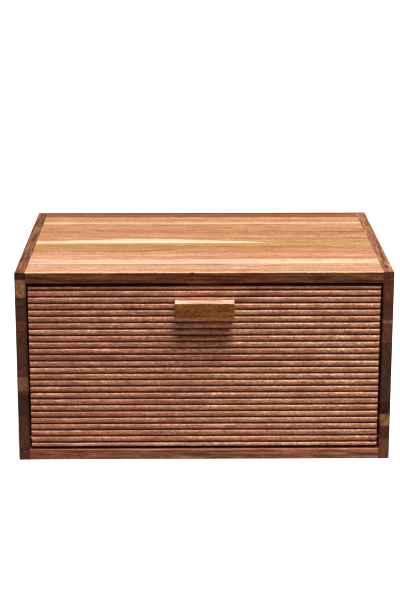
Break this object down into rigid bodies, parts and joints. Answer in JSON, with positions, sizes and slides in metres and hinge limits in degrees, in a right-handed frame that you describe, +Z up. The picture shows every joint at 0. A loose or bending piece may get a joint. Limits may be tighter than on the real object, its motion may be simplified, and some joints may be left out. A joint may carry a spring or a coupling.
{
  "type": "bread bin",
  "caption": "Wooden countertop box with an inset ribbed door that drops forward on pivot pins, a bar handle and a magnetic catch.",
  "frame": {"origin": "centre of the carcass footprint on the surface the bin stands on", "axes": "+X across the width, to the right of a person facing the door; -Y out of the door; +Z up"},
  "size_m": [0.35, 0.2396, 0.184],
  "materials": {
    "side_wood": "oiled, satin",
    "top_wood": "oiled, satin",
    "bottom_wood": "oiled, satin",
    "back_wood": "oiled, satin",
    "door_wood": "oiled, satin",
    "handle_wood": "oiled, satin",
    "dowel_wood": "bare",
    "catch_plastic": "satin",
    "magnet_ferrite": "matte",
    "pole_steel": "zinc plated",
    "screw_steel": "zinc plated",
    "pin_steel": "drawn, dull brown",
    "strike_steel": "satin plated"
  },
  "bodies": {
    "carcass": {"left_side_panel": "side_wood", "right_side_panel": "side_wood", "top_panel": "top_wood", "bottom_panel": "bottom_wood", "back_panel": "back_wood", "top_dowels": "dowel_wood", "bottom_dowels": "dowel_wood", "catch_housing": "catch_plastic", "catch_magnet": "magnet_ferrite", "catch_pole_plates": "pole_steel", "catch_screws": "screw_steel"},
    "door": {"door_panel": "door_wood", "handle": "handle_wood", "handle_screws": "screw_steel", "left_pivot_pin": "pin_steel", "right_pivot_pin": "pin_steel", "strike_plate": "strike_steel", "strike_screws": "screw_steel"}
  },
  "joints": [
    {"name": "door_hinge", "type": "hinge", "parent": "carcass", "child": "door", "pos_m": [0, -0.1086, 0.0204], "axis": [1, 0, 0], "range_deg": [0, 90]}
  ]
}
